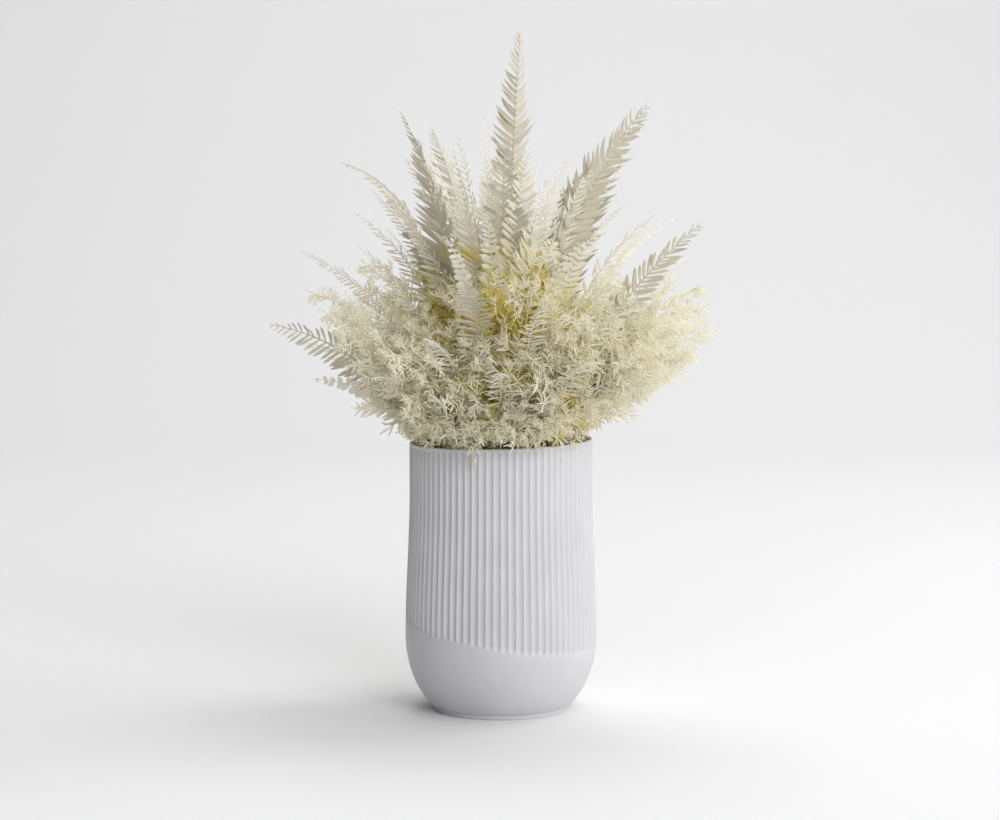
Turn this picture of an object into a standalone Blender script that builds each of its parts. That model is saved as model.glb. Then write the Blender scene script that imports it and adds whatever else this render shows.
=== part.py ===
"""A bleached fern arrangement in a tall fluted ceramic pot, in metres, +Z up, front towards -Y.

The pot stands on its flat base at the origin. A foam plug is wedged in its neck under a layer of
moss, and carries everything that grows: twelve wired fern fronds, each a pick, a bendable stem and
a pressed leaf, and one-piece moulded sprays that fill the dome between them.
"""

import math

import bmesh
import bpy
from mathutils import Matrix, Vector
from mathutils.geometry import interpolate_bezier

# Pot
POT_HEIGHT = 0.242
BELLY_RADIUS = 0.086
BELLY_HEIGHT = 0.066
BOWL_CENTRE_RADIUS = 0.030  # the bowl is an elliptical arc about this radius
NECK_RADIUS = 0.082
NECK_DEPTH = 0.042  # the straight neck, measured down from the rim
FOOT_RADIUS = 0.062
FOOT_HEIGHT = 0.0045
FOOT_STEP = 0.0014
POT_EDGE = 0.0012  # rounding of the foot and the rim
WALL = 0.0045
LIP = 0.0030
LIP_HEIGHT = 0.010  # the wall thins to the lip over this height
FLOOR = 0.0085
FLOOR_COVE = 0.012  # the inside corner round the floor
RIM_TILT = math.radians(1.25)  # the right side stands higher
FLUTES = 80
FLUTE_DEPTH = 0.0012
FLUTE_TOP = 0.0035  # plain band between the flutes and the rim
FLUTE_FADE = 0.004
FLUTE_END_HEIGHT = 0.0675
FLUTE_END_TILT = math.radians(8.9)
FLUTE_END_AZIMUTH = math.radians(-9)  # the way the flutes' lower ends fall

# Foam plug and moss
FIT = 0.0003  # clearance between pieces that touch
MOSS_DROP = 0.010  # moss below the lowest point of the rim
MOSS_THICKNESS = 0.014
MOSS_CROWN = 0.003
BLOCK_CHAMFER = 0.003  # on the foam's lower edge and the moss's upper one
FOAM_DEPTH = 0.105
FOAM_TAPER = 0.006
STEM_DEPTH = 0.075  # how deep the stems go below the moss

# Stems, leaves and sprays
STEM_RADIUS = 0.0016
STEM_TIP_RADIUS = 0.0011
STEM_POINT = 0.006  # length of the point that goes into the foam
POINT_SHARE = 0.4  # of the stem's radius, at the end of that point
SOCKET_DEPTH = 0.012
SOCKET_WALL = 0.0008
SOCKET_SHOULDER = 0.002  # solid past the socket's hollow
RIB_RADIUS = 0.0010
RIB_TIP_RADIUS = 0.0004
STEM_SHARE = 0.30  # of a frond's length, up to its leaf
LEAF_FOLD = math.radians(14)
LEAF_SWELL = 0.55  # under 1, the leaf is widest nearer its stem
FIN_SWELL = 0.8
ROOT_DEPTH = 0.300  # stems fan out from a point this far below the moss
STEM_MARGIN = 0.0195  # from the outermost stems' feet to the neck's wall
OUTER_LEAN = math.radians(62)  # a stem that leans this far leaves at that margin
EXIT_SHARE = 0.55  # of its lean, which a stem has as it leaves the moss
HANDLE = 0.36  # of the chord, on the stems' curves
SPRAY_STEM_SHARE = 0.36
HOLE_OVERSHOOT = 0.004  # the holes' cutter goes on this far above the moss

# Wired fronds: azimuth from +X anticlockwise, how far the tip reaches from the pot's axis, how high
# it rises above the moss, how far the tip droops past the chord, the leaf's half width, its roll
FRONDS = {
    "tall_back": (71, 0.053, 0.376, 4, 0.020, 58),
    "front_centre": (273, 0.060, 0.280, 8, 0.022, 0),
    "left_upright": (178, 0.088, 0.302, 12, 0.015, 76),
    "left_broad": (217, 0.091, 0.277, 0, 0.024, -6),
    "left_arching": (164, 0.149, 0.259, 44, 0.017, -12),
    "right_tall": (5, 0.129, 0.307, 22, 0.024, -44),
    "right_second": (335, 0.134, 0.293, 24, 0.020, -26),
    "low_left": (190, 0.206, 0.117, 20, 0.021, 30),
    "front_nodding": (258, 0.158, 0.160, 34, 0.026, 0),
    "far_right": (351, 0.178, 0.205, 10, 0.019, -20),
    "back_left": (122, 0.120, 0.290, 18, 0.024, 4),
    "back_right": (46, 0.135, 0.270, 34, 0.022, 0),
}

# Moulded sprays, one piece each: azimuth, reach, rise, droop, radius of the fins
SPRAYS = {
    "asparagus": (
        (13, 0.182, 0.145, 22, 0.015),
        (326, 0.160, 0.100, 26, 0.015),
        (12, 0.188, 0.105, 22, 0.015),
        (300, 0.140, 0.125, 30, 0.015),
        (288, 0.130, 0.185, 24, 0.013),
        (236, 0.158, 0.095, 30, 0.015),
        (212, 0.165, 0.120, 24, 0.015),
        (172, 0.165, 0.140, 24, 0.015),
        (60, 0.160, 0.130, 28, 0.015),
        (90, 0.165, 0.110, 28, 0.015),
        (125, 0.165, 0.120, 28, 0.015),
    ),
    "sword": (
        (150, 0.215, 0.178, 20, 0.012),
        (193, 0.128, 0.185, 18, 0.012),
        (235, 0.026, 0.302, -2, 0.012),
        (290, 0.143, 0.060, 20, 0.012),
        (206, 0.140, 0.046, 24, 0.012),
        (88, 0.118, 0.235, 16, 0.012),
    ),
    "button": (
        (21, 0.167, 0.208, 26, 0.013),
        (178, 0.168, 0.066, 18, 0.012),
        (307, 0.116, 0.190, 28, 0.012),
        (74, 0.150, 0.060, 24, 0.013),
    ),
}


def finish(name, colour, roughness):
    """A plain material for one kind of piece."""
    material = bpy.data.materials.new(name)
    material.use_nodes = True
    shader = material.node_tree.nodes["Principled BSDF"]
    shader.inputs["Base Color"].default_value = (*colour, 1.0)
    shader.inputs["Roughness"].default_value = roughness
    shader.inputs["Metallic"].default_value = 0.0
    return material


def piece(name, bm, material, origin=None, smooth=True):
    """Turn a bmesh built in world coordinates into an object whose origin is where it pivots."""
    bmesh.ops.recalc_face_normals(bm, faces=bm.faces)
    if origin is not None:
        bmesh.ops.translate(bm, verts=bm.verts, vec=-origin)
    mesh = bpy.data.meshes.new(name)
    bm.to_mesh(mesh)
    bm.free()
    mesh.materials.append(material)
    if smooth:
        mesh.shade_smooth()
        mesh.set_sharp_from_angle(angle=math.radians(35))
    thing = bpy.data.objects.new(name, mesh)
    thing.location = origin if origin is not None else Vector()
    bpy.context.scene.collection.objects.link(thing)
    return thing


def ring(bm, points):
    return [bm.verts.new(point) for point in points]


def skin(bm, lower, upper):
    """Faces between two rings that run the same way round. The upper one may have twice the corners."""
    count = len(lower)
    double = len(upper) // count
    for index in range(count):
        after = (index + 1) % count
        if double == 1:
            bm.faces.new((lower[index], lower[after], upper[after], upper[index]))
            continue
        first, middle, last = (upper[(2 * index + step) % len(upper)] for step in range(3))
        bm.faces.new((lower[index], middle, first))
        bm.faces.new((lower[index], lower[after], middle))
        bm.faces.new((lower[after], last, middle))


def loft(bm, rings):
    """Skin from each ring to the next, with both ends closed."""
    for lower, upper in zip(rings, rings[1:]):
        if len(lower) > len(upper):
            skin(bm, upper, lower)
        else:
            skin(bm, lower, upper)
    bm.faces.new(rings[0])
    bm.faces.new(rings[-1])


# ---- Pot ----

NECK_HEIGHT = POT_HEIGHT - NECK_DEPTH


def outer_radius(height):
    """Outline of the pot over the ridges between its flutes."""
    if height <= BELLY_HEIGHT:
        reach = BELLY_RADIUS - BOWL_CENTRE_RADIUS
        start = (FOOT_RADIUS + FOOT_STEP - BOWL_CENTRE_RADIUS) / reach
        depth = (BELLY_HEIGHT - FOOT_HEIGHT) / math.sqrt(1 - start * start)
        down = min((BELLY_HEIGHT - height) / depth, 1)
        return BOWL_CENTRE_RADIUS + reach * math.sqrt(1 - down * down)
    share = min((height - BELLY_HEIGHT) / (NECK_HEIGHT - BELLY_HEIGHT), 1)
    ease = (1 - math.cos(math.pi * share)) / 2
    return BELLY_RADIUS + (NECK_RADIUS - BELLY_RADIUS) * ease


def rim_height(x):
    return POT_HEIGHT + x * math.tan(RIM_TILT)


def inner_radius(height, x=0.0):
    """The inside wall, which thins towards the lip."""
    into_lip = (height - rim_height(x) + LIP_HEIGHT) / LIP_HEIGHT
    wall = WALL + (LIP - WALL) * min(max(into_lip, 0), 1)
    return outer_radius(height) - wall


INSIDE_SHARES = (1, 0.7, 0.4, 0)  # of the height from the belly to the lip, where the inside bends


def inside_height(share, x=0.0):
    return BELLY_HEIGHT + (rim_height(x) - LIP_HEIGHT - BELLY_HEIGHT) * share


def flute_end_height(x, y):
    along = x * math.cos(FLUTE_END_AZIMUTH) + y * math.sin(FLUTE_END_AZIMUTH)
    return FLUTE_END_HEIGHT - along * math.tan(FLUTE_END_TILT)


def pot_ring(bm, corners, place):
    """A ring whose radius and height at each angle come from place(angle, index)."""
    points = []
    for index in range(corners):
        angle = math.tau * index / corners
        radius, height = place(angle, index)
        points.append((radius * math.cos(angle), radius * math.sin(angle), height))
    return ring(bm, points)


def build_pot(material):
    bm = bmesh.new()

    def level(radius, height):
        return pot_ring(bm, FLUTES, lambda angle, index: (radius, height))

    def bowl(share):
        def place(angle, index):
            x, y = BELLY_RADIUS * math.cos(angle), BELLY_RADIUS * math.sin(angle)
            top = flute_end_height(x, y)
            height = FOOT_HEIGHT + (top - FOOT_HEIGHT) * share
            return outer_radius(height), height

        return pot_ring(bm, FLUTES, place)

    def fluted(share, depth):
        def place(angle, index):
            x, y = BELLY_RADIUS * math.cos(angle), BELLY_RADIUS * math.sin(angle)
            low = flute_end_height(x, y) + FLUTE_FADE / 2
            high = rim_height(NECK_RADIUS * math.cos(angle)) - FLUTE_TOP
            fade = FLUTE_FADE / (high - low)
            height = low + (high - low) * (fade + (1 - 2 * fade) * share)
            if depth == 0:
                height = low if share == 0 else high
            return outer_radius(height) - depth * (index % 2), height

        return pot_ring(bm, 2 * FLUTES, place)

    def near_rim(inset, drop):
        def place(angle, index):
            height = rim_height(NECK_RADIUS * math.cos(angle)) - drop
            return NECK_RADIUS - inset, height

        return pot_ring(bm, FLUTES, place)

    def inside(share):
        def place(angle, index):
            x = NECK_RADIUS * math.cos(angle)
            height = inside_height(share, x)
            return inner_radius(height, x), height

        return pot_ring(bm, FLUTES, place)

    rings = [
        level(FOOT_RADIUS - POT_EDGE, 0),
        level(FOOT_RADIUS, POT_EDGE),
        level(FOOT_RADIUS, FOOT_HEIGHT - POT_EDGE / 2),
    ]
    rings += [bowl(share) for share in (0, 0.08, 0.19, 0.34, 0.54, 0.78)]
    rings += [fluted(0, 0)]
    rings += [fluted(share, FLUTE_DEPTH) for share in (0, 0.2, 0.42, 0.66, 1)]
    rings += [fluted(1, 0)]
    rings += [near_rim(0, POT_EDGE), near_rim(POT_EDGE, 0)]
    rings += [near_rim(LIP - POT_EDGE, 0), near_rim(LIP, POT_EDGE)]
    rings += [inside(share) for share in INSIDE_SHARES]
    cove = FLOOR + FLOOR_COVE
    bowl_heights = [cove + (BELLY_HEIGHT - cove) * share for share in (0.4, 0)]
    rings += [level(inner_radius(height), height) for height in bowl_heights]
    rings += [level(inner_radius(cove) - FLOOR_COVE, FLOOR)]
    loft(bm, rings)
    return piece("pot", bm, material)


# ---- Foam plug and moss ----

MOSS_TOP = rim_height(-NECK_RADIUS) - MOSS_DROP
MOSS_BOTTOM = MOSS_TOP - MOSS_THICKNESS
FOAM_TOP = MOSS_BOTTOM - FIT
NECK_BORE = NECK_RADIUS - WALL


def moss_height(radius):
    """The moss is a little crowned."""
    return MOSS_TOP + MOSS_CROWN * (1 - (radius / NECK_BORE) ** 2)


def disc(name, levels, material, corners=48):
    """A turned block through (radius, height) levels."""
    bm = bmesh.new()
    loft(bm, [pot_ring(bm, corners, lambda angle, index: level) for level in levels])
    return piece(name, bm, material)


def chord_radius(height, bends):
    """The inside wall at a height, where it runs straight from one bend to the next."""
    for high, low in zip(bends, bends[1:]):
        if low <= height <= high:
            share = (height - low) / (high - low)
            return inner_radius(low) + (inner_radius(high) - inner_radius(low)) * share
    return inner_radius(height)


def foam_taper():
    """The plug's taper, or more of it where the pot narrows below its neck."""
    heights = [inside_height(share) for share in INSIDE_SHARES]
    taper = FOAM_TAPER
    for height in [FOAM_TOP - FOAM_DEPTH] + heights:
        drop = FOAM_TOP - height
        if BLOCK_CHAMFER < drop <= FOAM_DEPTH:
            needed = NECK_BORE - chord_radius(height, heights)
            taper = max(taper, needed * FOAM_DEPTH / drop)
    return taper


def build_foam(material):
    top = NECK_BORE - FIT
    bottom = top - foam_taper()
    levels = [
        (bottom - BLOCK_CHAMFER, FOAM_TOP - FOAM_DEPTH),
        (bottom, FOAM_TOP - FOAM_DEPTH + BLOCK_CHAMFER),
        (top, FOAM_TOP),
    ]
    return disc("foam_plug", levels, material)


def build_moss(material):
    radius = NECK_BORE - FIT
    levels = [
        (radius, MOSS_BOTTOM),
        (radius, moss_height(NECK_BORE) - BLOCK_CHAMFER),
        (radius - BLOCK_CHAMFER, moss_height(NECK_BORE)),
        (radius * 0.6, moss_height(NECK_BORE * 0.6)),
        (radius * 0.25, moss_height(NECK_BORE * 0.25)),
    ]
    return disc("moss_layer", levels, material)


def bore(thing, cutters):
    """Cut the stems' holes out of a block."""
    cut = thing.modifiers.new("Stem holes", "BOOLEAN")
    cut.operation = "DIFFERENCE"
    cut.solver = "EXACT"
    cut.object = cutters


# ---- Stems ----

BASE_SPREAD = NECK_BORE - STEM_MARGIN


class Stem:
    """The centre line of a frond or a spray, in the upright plane at its azimuth."""

    def __init__(self, azimuth, reach, rise, droop):
        angle = math.radians(azimuth)
        self.out = Vector((math.cos(angle), math.sin(angle), 0))
        self.side = Vector((-math.sin(angle), math.cos(angle), 0))
        chord = math.atan2(reach, rise)
        base = BASE_SPREAD * min(chord / OUTER_LEAN, 1)
        self.foot = self.out * base + Vector((0, 0, moss_height(base)))
        self.root_lean = math.atan2(base, ROOT_DEPTH)
        self.exit_lean = chord * EXIT_SHARE
        self.tip_lean = chord + math.radians(droop)
        self.tip = self.out * reach + Vector((0, 0, MOSS_TOP + rise))

    def heading(self, lean):
        return self.out * math.sin(lean) + Vector((0, 0, math.cos(lean)))

    def curve(self, start, lean, count):
        """Points from start, which it leaves at this lean, to the tip."""
        handle = (self.tip - start).length * HANDLE
        leaving = start + self.heading(lean) * handle
        arriving = self.tip - self.heading(self.tip_lean) * handle
        return interpolate_bezier(start, leaving, arriving, self.tip, count)

    def below(self, depth):
        """A point on the buried part, this far below the moss."""
        return self.foot - self.heading(self.root_lean) * depth

    def pivot(self):
        """Where a wired stem bends, just clear of the moss."""
        return self.foot + Vector((0, 0, STEM_RADIUS + FIT))


def sections(bm, line, side, radii, roll=0.0, fold=0.0):
    """Six-cornered rings square to a line. radii(i) gives a ring's six radii; a fold lifts the wings."""
    rings = []
    for index, point in enumerate(line):
        ahead = line[min(index + 1, len(line) - 1)]
        behind = line[max(index - 1, 0)]
        along = (ahead - behind).normalized()
        across = Matrix.Rotation(roll, 3, along) @ side
        face = across.cross(along)
        corners = []
        for corner, radius in enumerate(radii(index)):
            angle = math.radians(60 * corner)
            spread = across * math.cos(angle) + face * math.sin(angle)
            lift = face * math.tan(fold) * abs(math.cos(angle)) if corner % 3 == 0 else Vector()
            corners.append(point + (spread + lift) * radius)
        rings.append(ring(bm, corners))
    return rings


def build_pick(name, stem, material):
    """The pick that holds a wired stem in the foam."""
    bm = bmesh.new()
    line = [stem.below(depth) for depth in (STEM_DEPTH, STEM_DEPTH - STEM_POINT, STEM_RADIUS)]
    sizes = (STEM_RADIUS * POINT_SHARE, STEM_RADIUS, STEM_RADIUS)
    loft(bm, sections(bm, line, stem.side, lambda index: [sizes[index]] * 6))
    return piece(f"{name}_pick", bm, material)


def split_line(stem, count=40):
    """A wired stem's curve, and the point on it where the leaf starts."""
    line = stem.curve(stem.pivot(), stem.exit_lean, count)
    return line, round(STEM_SHARE * (count - 1))


def build_stem(name, stem, material):
    """The bendable wire stem: a round foot on the pivot, and a tip that plugs into the leaf."""
    line, start = split_line(stem)
    bm = bmesh.new()
    foot = line[0] - (line[1] - line[0]).normalized() * STEM_RADIUS * 0.9
    plug = line[start] + (line[start + 1] - line[start]).normalized() * (SOCKET_DEPTH - FIT)
    steps = [line[round(start * share / 5)] for share in range(6)]
    points = [foot] + steps + [plug]
    taper = STEM_TIP_RADIUS - STEM_RADIUS
    sizes = [STEM_RADIUS * 0.45] + [STEM_RADIUS + taper * share / 5 for share in range(6)]
    sizes += [STEM_TIP_RADIUS]
    loft(bm, sections(bm, points, stem.side, lambda index: [sizes[index]] * 6))
    return piece(f"{name}_stem", bm, material, stem.pivot())


def build_leaf(name, stem, half_width, roll, material):
    """The pressed leaf: a socket that slips over the stem, a rib and two folded wings."""
    line, start = split_line(stem)
    along = (line[start + 1] - line[start]).normalized()
    mouth = line[start]
    points = [mouth, mouth + along * (SOCKET_DEPTH + SOCKET_SHOULDER)]
    bore_radius = STEM_TIP_RADIUS + FIT
    socket = bore_radius + SOCKET_WALL
    clear = SOCKET_DEPTH / 2
    blade = [point for point in line[start:] if (point - points[1]).dot(along) > clear]
    steps = 9
    points += [blade[round((len(blade) - 1) * share / steps)] for share in range(steps + 1)]

    def radii(index):
        if index < 2:
            return [socket] * 6
        share = (index - 1) / (steps + 1)
        wing = max(half_width * math.sin(math.pi * share**LEAF_SWELL), RIB_TIP_RADIUS)
        rib = RIB_RADIUS + (RIB_TIP_RADIUS - RIB_RADIUS) * share
        return [wing, rib, rib, wing, rib, rib]

    bm = bmesh.new()
    hollow = [mouth, mouth + along * SOCKET_DEPTH]
    rings = sections(bm, hollow, stem.side, lambda index: [bore_radius] * 6, roll)[::-1]
    rings += sections(bm, points, stem.side, radii, roll, LEAF_FOLD)
    loft(bm, rings)
    return piece(f"{name}_leaf", bm, material, stem.pivot())


def build_spray(name, stem, fins, material):
    """A moulded spray: a stem pushed into the foam, opening into three long fins of leaflets."""
    line = stem.curve(stem.foot, (stem.root_lean + stem.exit_lean) / 2, 24)
    points = [stem.below(STEM_DEPTH), stem.below(STEM_DEPTH - STEM_POINT)]
    points += line[::2] + [line[-1]]
    last = len(points) - 1

    def radii(index):
        thin = STEM_RADIUS + (RIB_TIP_RADIUS - STEM_RADIUS) * index / last
        if index == 0:
            return [STEM_RADIUS * POINT_SHARE] * 6
        share = (index / last - SPRAY_STEM_SHARE) / (1 - SPRAY_STEM_SHARE)
        if share <= 0:
            return [STEM_RADIUS] * 6
        if share == 1:
            return [thin] * 6
        return [max(fins * math.sin(math.pi * share**FIN_SWELL) ** 0.7, thin), thin] * 3

    bm = bmesh.new()
    loft(bm, sections(bm, points, stem.side, radii, math.radians(30)))
    return piece(name, bm, material)


def build_holes(stems):
    """One cutter for every stem's hole through the moss and into the foam."""
    bm = bmesh.new()
    radius = STEM_RADIUS + FIT / math.cos(math.radians(30))  # the flats clear the stem's by FIT
    for stem in stems:
        line = [stem.below(STEM_DEPTH + FIT), stem.below(-HOLE_OVERSHOOT)]
        loft(bm, sections(bm, line, stem.side, lambda index: [radius] * 6))
    holes = piece("stem_holes", bm, bpy.data.materials.new("Cutter"), smooth=False)
    holes.hide_render = True
    holes.display_type = "WIRE"
    return holes


def build_all():
    for thing in list(bpy.data.objects):
        bpy.data.objects.remove(thing)

    ceramic = finish("Matt white stoneware", (0.80, 0.80, 0.81), 0.55)
    foam = finish("Floral foam", (0.16, 0.20, 0.09), 0.95)
    moss = finish("Preserved moss", (0.10, 0.075, 0.035), 0.95)
    wire = finish("Sleeved wire", (0.52, 0.47, 0.30), 0.6)
    leaf = finish("Bleached fern leaf", (0.78, 0.74, 0.60), 0.7)
    spray = finish("Moulded bleached spray", (0.74, 0.70, 0.54), 0.7)

    build_pot(ceramic)
    stems = []
    for name, (azimuth, reach, rise, droop, half_width, roll) in FRONDS.items():
        stem = Stem(azimuth, reach, rise, droop)
        build_pick(name, stem, wire)
        build_stem(name, stem, wire)
        build_leaf(name, stem, half_width, math.radians(roll), leaf)
        stems.append(stem)
    for kind, sprays in SPRAYS.items():
        for number, (azimuth, reach, rise, droop, fins) in enumerate(sprays, 1):
            stem = Stem(azimuth, reach, rise, droop)
            build_spray(f"{kind}_spray_{number:02d}", stem, fins, spray)
            stems.append(stem)
    holes = build_holes(stems)
    bore(build_foam(foam), holes)
    bore(build_moss(moss), holes)


build_all()
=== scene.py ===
import math
import random

import bmesh
import bpy
from mathutils import Matrix, Vector, noise
from mathutils.geometry import interpolate_bezier


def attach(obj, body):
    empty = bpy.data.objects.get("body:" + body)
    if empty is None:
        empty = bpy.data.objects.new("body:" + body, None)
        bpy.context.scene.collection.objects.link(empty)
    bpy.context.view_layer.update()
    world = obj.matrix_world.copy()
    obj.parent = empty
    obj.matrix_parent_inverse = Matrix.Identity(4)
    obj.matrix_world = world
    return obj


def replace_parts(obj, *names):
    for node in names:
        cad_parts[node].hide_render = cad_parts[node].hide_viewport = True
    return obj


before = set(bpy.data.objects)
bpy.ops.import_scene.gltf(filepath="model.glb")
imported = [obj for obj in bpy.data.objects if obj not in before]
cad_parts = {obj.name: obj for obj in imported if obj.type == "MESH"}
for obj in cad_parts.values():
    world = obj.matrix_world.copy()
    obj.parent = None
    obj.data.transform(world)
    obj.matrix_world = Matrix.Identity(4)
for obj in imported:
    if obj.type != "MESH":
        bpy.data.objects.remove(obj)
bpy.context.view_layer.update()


# ---- Studio ----
# A seamless sheet of pale paper that curves up behind the table. Soft window light comes from the
# right, a wide fill from the front, one lamp washes the paper, and the room adds a little.

PAPER_SIDE = 6.0  # from the middle to either side edge
PAPER_FRONT = -4.0
PAPER_CURVE_START = 2.2
PAPER_CURVE_RADIUS = 1.6
PAPER_TOP = 6.0
CURVE_STEPS = 24


def colour(code):
    """A hex sRGB colour as the linear values a shader takes."""
    channels = [int(code[start : start + 2], 16) / 255 for start in (1, 3, 5)]
    linear = [c / 12.92 if c <= 0.04045 else ((c + 0.055) / 1.055) ** 2.4 for c in channels]
    return (*linear, 1.0)


def add(tree, kind, settings=None, links=None):
    """Add a node with its settings and the links into it. An input goes by its name or its number."""
    node = tree.nodes.new(kind)
    for name, value in (settings or {}).items():
        if isinstance(name, int) or name in node.inputs:
            node.inputs[name].default_value = value
        else:
            setattr(node, name, value)
    for name, source in (links or {}).items():
        tree.links.new(source, node.inputs[name])
    return node


def new_material(name, settings):
    """A material with its main shader set; returns the material, its nodes and that shader."""
    material = bpy.data.materials.new(name)
    material.use_nodes = True
    tree = material.node_tree
    shader = tree.nodes["Principled BSDF"]
    for socket, value in settings.items():
        shader.inputs[socket].default_value = value
    return material, tree, shader


def show(name, bm, material, smooth_angle=60):
    """Make the finished object, which keeps its place in its mesh."""
    mesh = bpy.data.meshes.new(name)
    bm.to_mesh(mesh)
    bm.free()
    mesh.materials.append(material)
    mesh.shade_smooth()
    mesh.set_sharp_from_angle(angle=math.radians(smooth_angle))
    thing = bpy.data.objects.new(name, mesh)
    bpy.context.scene.collection.objects.link(thing)
    return thing


# Uncoated paper scatters the light evenly, so the lamps leave no gloss on it.
paper = new_material("Uncoated paper", {"Base Color": colour("#e4e4e4"), "Roughness": 0.9})[0]
sheet = bmesh.new()
path = [(PAPER_FRONT, 0)]
for step in range(CURVE_STEPS + 1):
    lean = math.radians(90 * step / CURVE_STEPS)
    back = PAPER_CURVE_START + PAPER_CURVE_RADIUS * math.sin(lean)
    path.append((back, PAPER_CURVE_RADIUS * (1 - math.cos(lean))))
path.append((PAPER_CURVE_START + PAPER_CURVE_RADIUS, PAPER_TOP))
run = [sheet.verts.new((-PAPER_SIDE, back, up)) for back, up in path]
edges = [sheet.edges.new(pair) for pair in zip(run, run[1:])]
swept = bmesh.ops.extrude_edge_only(sheet, edges=edges)
moved = [part for part in swept["geom"] if isinstance(part, bmesh.types.BMVert)]
bmesh.ops.translate(sheet, verts=moved, vec=(2 * PAPER_SIDE, 0, 0))
bmesh.ops.recalc_face_normals(sheet, faces=sheet.faces)
backdrop = show("seamless_paper", sheet, paper)

world = bpy.data.worlds.new("Studio")
bpy.context.scene.world = world
world.use_nodes = True
sky = world.node_tree
# The room is dimmer on the left, away from the window.
direction = add(sky, "ShaderNodeTexCoord").outputs["Generated"]
split = add(sky, "ShaderNodeSeparateXYZ", {}, {"Vector": direction})
shift = add(sky, "ShaderNodeMapRange", {"From Min": -1.0, "From Max": 1.0}, {"Value": split.outputs["X"]})
room = add(sky, "ShaderNodeValToRGB", {}, {"Fac": shift.outputs["Result"]})
room.color_ramp.elements[0].color = (0.04, 0.036, 0.030, 1)
room.color_ramp.elements[1].color = (0.90, 0.90, 0.92, 1)
sky.links.new(room.outputs["Color"], sky.nodes["Background"].inputs["Color"])


def soft_light(name, place, aim, size, power, tint):
    """A rectangular lamp that faces the point it is aimed at."""
    lamp = bpy.data.lights.new(name, "AREA")
    lamp.shape = "RECTANGLE"
    lamp.size, lamp.size_y = size
    lamp.energy = power
    lamp.color = colour(tint)[:3]
    thing = bpy.data.objects.new(name, lamp)
    thing.location = place
    thing.rotation_euler = (Vector(aim) - Vector(place)).to_track_quat("-Z", "Y").to_euler()
    bpy.context.scene.collection.objects.link(thing)


object_middle = (0, 0, 0.25)
soft_light("window", (2.3, 1.0, 1.9), object_middle, (1.0, 1.0), 13, "#fffdf8")
soft_light("side_window", (2.7, -0.4, 1.1), object_middle, (1.2, 1.2), 14, "#fffdf8")
soft_light("front_fill", (1.5, -3.2, 2.2), object_middle, (2.5, 2.0), 80, "#fbfcff")
soft_light("paper_wash", (0.6, 1.6, 4.2), (0, 0.7, 0.3), (4.0, 2.0), 80, "#ffffff")

# The camera stands 2.3 m in front, a little above the middle, and looks 5 degrees down.
camera = bpy.data.objects.new("camera", bpy.data.cameras.new("camera"))
camera.data.lens = 92.9
camera.data.shift_x = -0.001
camera.location = (0, -2.3, 0.47)
camera.rotation_euler = (math.radians(85), 0, 0)
bpy.context.scene.collection.objects.link(camera)
bpy.context.scene.camera = camera
bpy.context.scene.view_settings.view_transform = "Standard"


# ---- Pot ----
# Slip-cast white stoneware with a matt glaze. The neck and belly carry eighty pressed flutes that
# end on a slant over a smooth bowl, above a small turned foot.

POT_HEIGHT = 0.242
BELLY_RADIUS = 0.086
BELLY_HEIGHT = 0.066
BOWL_CENTRE_RADIUS = 0.030
NECK_RADIUS = 0.082
NECK_HEIGHT = 0.200
FOOT_RADIUS = 0.062
FOOT_HEIGHT = 0.0045
FOOT_STEP = 0.0014
WALL = 0.0045
LIP = 0.0030
LIP_HEIGHT = 0.010
POT_FLOOR = 0.0085
RIM_TILT = math.radians(1.25)
FLUTES = 80
FLUTE_DEPTH = 0.0016
FLUTE_TOP = 0.0016  # from the rim down to where the flutes run out
FLUTE_END = 0.0675
FLUTE_END_TILT = math.radians(8.9)
FLUTE_END_AZIMUTH = math.radians(-9)
FLUTE_STEPS = 6  # facets across one flute
FLUTE_RUN_OUT = 0.0020  # over which a flute grows shallow below the rim
END_ZONE = 0.0055  # finer rings follow the shape at both ends of the flutes
TONGUE_LENGTH = 1.5  # of half a flute's width, how far its round end reaches
FOOT_HOLLOW = 0.0012
COVE_HEIGHT = 0.012  # the rounded inside corner above the floor


def outer_radius(height):
    """The pot's smooth outside: an elliptic bowl, then a neck that swells gently down to the belly."""
    if height <= BELLY_HEIGHT:
        reach = BELLY_RADIUS - BOWL_CENTRE_RADIUS
        start = (FOOT_RADIUS + FOOT_STEP - BOWL_CENTRE_RADIUS) / reach
        depth = (BELLY_HEIGHT - FOOT_HEIGHT) / math.sqrt(1 - start * start)
        down = min((BELLY_HEIGHT - height) / depth, 1)
        return BOWL_CENTRE_RADIUS + reach * math.sqrt(1 - down * down)
    share = min((height - BELLY_HEIGHT) / (NECK_HEIGHT - BELLY_HEIGHT), 1)
    return BELLY_RADIUS + (NECK_RADIUS - BELLY_RADIUS) * (1 - math.cos(math.pi * share)) / 2


def slanted(radius, height, angle):
    """Where a point of the level outline goes: the flutes' ends slant and the rim tilts a little."""
    along = BELLY_RADIUS * math.cos(angle - FLUTE_END_AZIMUTH)
    end = FLUTE_END - along * math.tan(FLUTE_END_TILT)
    rim = POT_HEIGHT + NECK_RADIUS * math.cos(angle) * math.tan(RIM_TILT)
    if height <= FOOT_HEIGHT:
        return radius, height
    if height < FLUTE_END:
        share = (height - FOOT_HEIGHT) / (FLUTE_END - FOOT_HEIGHT)
        moved_height = FOOT_HEIGHT + share * (end - FOOT_HEIGHT)
    else:
        moved_height = end + (height - FLUTE_END) / (POT_HEIGHT - FLUTE_END) * (rim - end)
    return radius + outer_radius(moved_height) - outer_radius(height), moved_height


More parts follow.
